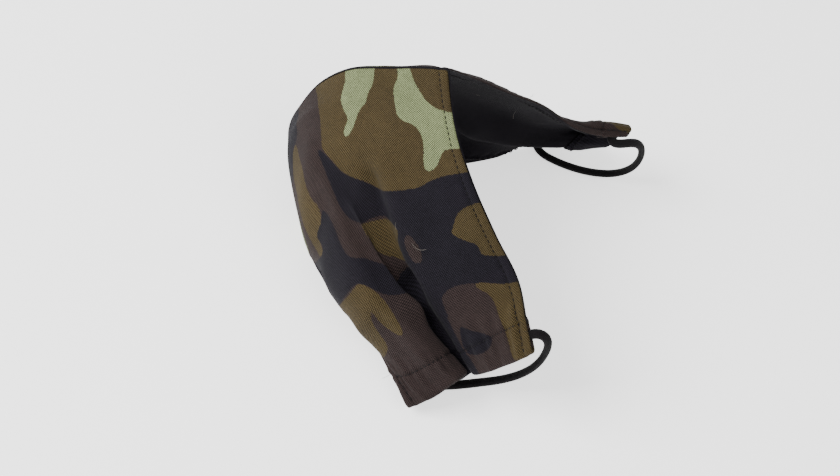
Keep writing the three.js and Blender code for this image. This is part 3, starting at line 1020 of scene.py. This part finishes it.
def lining_material():
    """Plain black cotton with a fine square weave and a little pale lint."""
    shader = Shader("lining_cloth", roughness=0.92, sheen=0.03)
    weave = shader.weave()
    across, down = shader.axes(weave)
    warp = shader.sine(across, LINING_YARNS)
    weft = shader.sine(down, LINING_YARNS)
    grid = shader.math("MULTIPLY", warp, weft)
    cloud = shader.noise(weave, scale=0.09, detail=3.0)
    speck = shader.noise(weave, scale=2.2, detail=3.0, roughness=0.7)
    tone = shader.tone(0.6, [(grid, 0.06), (cloud, 0.5), (speck, 0.3)])
    fluff = shader.noise(weave, scale=0.9, detail=4.0, roughness=0.75)
    lint = shader.remap(fluff, 0.73, 0.78, 0.0, 0.35)
    tint = shader.mix(lint, colour(23, 21, 25), colour(74, 72, 74))
    return shader.finish(shader.shaded(tint, tone), grid, distance=0.00005)


def elastic_material():
    """Black braided elastic: yarns crossing in small diamonds."""
    shader = Shader("elastic", roughness=0.8, sheen=0.04)
    weave = shader.weave()
    along, around = shader.axes(weave)
    one = shader.sine(shader.math("ADD", along, around), BRAID_YARN_TURN)
    other = shader.sine(shader.math("SUBTRACT", along, around), BRAID_YARN_TURN)
    braid = shader.math("MULTIPLY", one, other)
    fuzz = shader.noise(weave, scale=3.0, detail=3.0, roughness=0.7)
    tone = shader.tone(0.62, [(braid, 0.22), (fuzz, 0.7)])
    return shader.finish(shader.shaded(colour(20, 18, 20), tone), braid, distance=0.00012)


def thread_material():
    """Black polyester sewing thread with its twist."""
    shader = Shader("thread", roughness=0.6, sheen=0.02)
    weave = shader.weave()
    along, around = shader.axes(weave)
    rise = shader.math("MULTIPLY", along, THREAD_TWIST)
    turns = shader.math("MULTIPLY_ADD", around, THREAD_PLIES, rise)
    twist = shader.math("SINE", turns)
    tone = shader.tone(0.85, [(twist, 0.25)])
    return shader.finish(shader.shaded(colour(22, 20, 22), tone), twist, distance=0.00005)


def lint_material():
    """Pale loose fibre."""
    shader = Shader("lint", roughness=0.7, sheen=0.1)
    weave = shader.weave()
    tone = shader.tone(0.7, [(shader.noise(weave, scale=1.5), 0.5)])
    return shader.finish(shader.shaded(colour(118, 113, 106), tone), tone, distance=0.00002)


CAMO = camo_material()
LINING = lining_material()
ELASTIC = elastic_material()
THREAD = thread_material()
LINT = lint_material()


# ---- loose fibres

# Thread ends left at the edges and lint caught on the cloth. Each has its place along the cloth
# and share of the way down, its distance off the surface, its length and direction, how far it
# curls to the side, and how far its free end lifts.
THREAD_ENDS = {
    "left": [
        (64, 0.30, 1.0, 9, (0.2, 0.5, -0.6), 1.6, 0.5),
        (121, 0.02, 1.0, 5, (0.2, 0.8, 0.3), 1.2, 1.5),
        (116, 0.97, 1.0, 5, (0.5, -0.3, -0.1), 0.8, 1.0),
    ],
    "right": [
        (117, 0.03, 1.0, 6, (-0.2, 0.7, 0.5), 1.2, 1.5),
        (66, 0.01, 1.0, 4, (0.3, 0.2, 1), 0.8, 1.4),
    ],
}
LINT_FIBRES = {
    "left": [
        (62, 0.36, 1.0, 6, (0.3, 0.6, -0.6), -0.8, 0.3),
        (71, 0.33, 1.0, 8, (0.1, 0.8, 0.3), -1.6, 0.3),
    ],
    "right": [
        (79, 0.22, -1.0, 5, (0.3, 0.1, -1), 0.7, 0.5),
        (60, 0.3, -1.0, 4, (-0.4, 0.7, 0.3), 0.9, 0.4),
    ],
}
FIBRE_RADIUS = 0.05


def fibre(half, w, v, distance, length, direction, curl, lift):
    """A short loose thread end that starts on the cloth and curls off it."""
    w, v = np.array([w]), np.array([v])
    base = cloth_points(half, w, v, distance)[0]
    normal = outward(half, w / UPPER_EDGE_LENGTH, v)[0]
    heading = unit(np.array(direction, float))
    side = np.cross(normal, heading)
    s = np.linspace(0, 1, 12)[:, None]
    sign = 1 if distance > 0 else -1
    bow = side * curl * np.sin(np.pi * s)
    rise = lift * s * (1.6 - s) + 0.1
    return base + heading * length * s + bow + sign * normal * rise


def loose_fibres():
    for kind, material, group in (("thread", THREAD, THREAD_ENDS), ("lint", LINT, LINT_FIBRES)):
        for half, places in group.items():
            paths = [fibre(half, *place) for place in places]
            piece = tubes_object(f"{half}_loose_{kind}", paths, FIBRE_RADIUS)
            piece.data.materials.append(material)
            bend_at_centre(piece)


# ---- assembly

def add_cloth():
    for half in HALVES:
        outer = outer_cloth(half)
        outer.data.materials.append(CAMO)
        bend_at_centre(outer)
        lining = lining_cloth(half)
        lining.data.materials.append(LINING)
        bend_at_centre(lining)


def add_stitching():
    for half in HALVES:
        edge_stitches(half, lower=False)
        edge_stitches(half, lower=True)
        tunnel_stitches(half)


FLOOR_COLOUR = (0.92, 0.92, 0.92, 1)
FLOOR_GLOW = 1.2
ROOM_LIGHT = 0.55
WHITE = (1, 1, 1, 1)
LAMP_AIM = Vector((0, 0, 0.05))

# Each lamp's place and size in metres, and its power in watts.
LAMPS = {
    "key_lamp": ((0.65, -1.0, 1.05), 0.8, 42),
    "fill_lamp": ((0.3, 1.0, 1.3), 1.2, 12),
}


def add_stage():
    """A plain pale table top and soft light from a white room with two large lamps."""
    bpy.ops.mesh.primitive_plane_add(size=8)
    floor = bpy.context.object
    floor.name = "floor"
    shader = Shader("floor", roughness=0.9)
    floor.data.materials.append(shader.material)
    shader.surface.inputs["Base Color"].default_value = FLOOR_COLOUR
    shader.surface.inputs["Emission Color"].default_value = WHITE
    shader.surface.inputs["Emission Strength"].default_value = FLOOR_GLOW
    world = bpy.data.worlds.new("room")
    bpy.context.scene.world = world
    world.use_nodes = True
    background = world.node_tree.nodes["Background"]
    background.inputs["Color"].default_value = WHITE
    background.inputs["Strength"].default_value = ROOM_LIGHT
    for name, (place, size, power) in LAMPS.items():
        add_lamp(name, place, size, power)


def add_lamp(name, place, size, power):
    lamp = bpy.data.lights.new(name, "AREA")
    lamp.size = size
    lamp.energy = power
    item = bpy.data.objects.new(name, lamp)
    item.location = place
    item.rotation_euler = (LAMP_AIM - Vector(place)).to_track_quat("-Z", "Y").to_euler()
    bpy.context.scene.collection.objects.link(item)


add_camera()
for half_name in HALVES:
    ear_loop(half_name)
    tunnel_elastic(half_name)
add_cloth()
add_stitching()
loose_fibres()
add_stage()
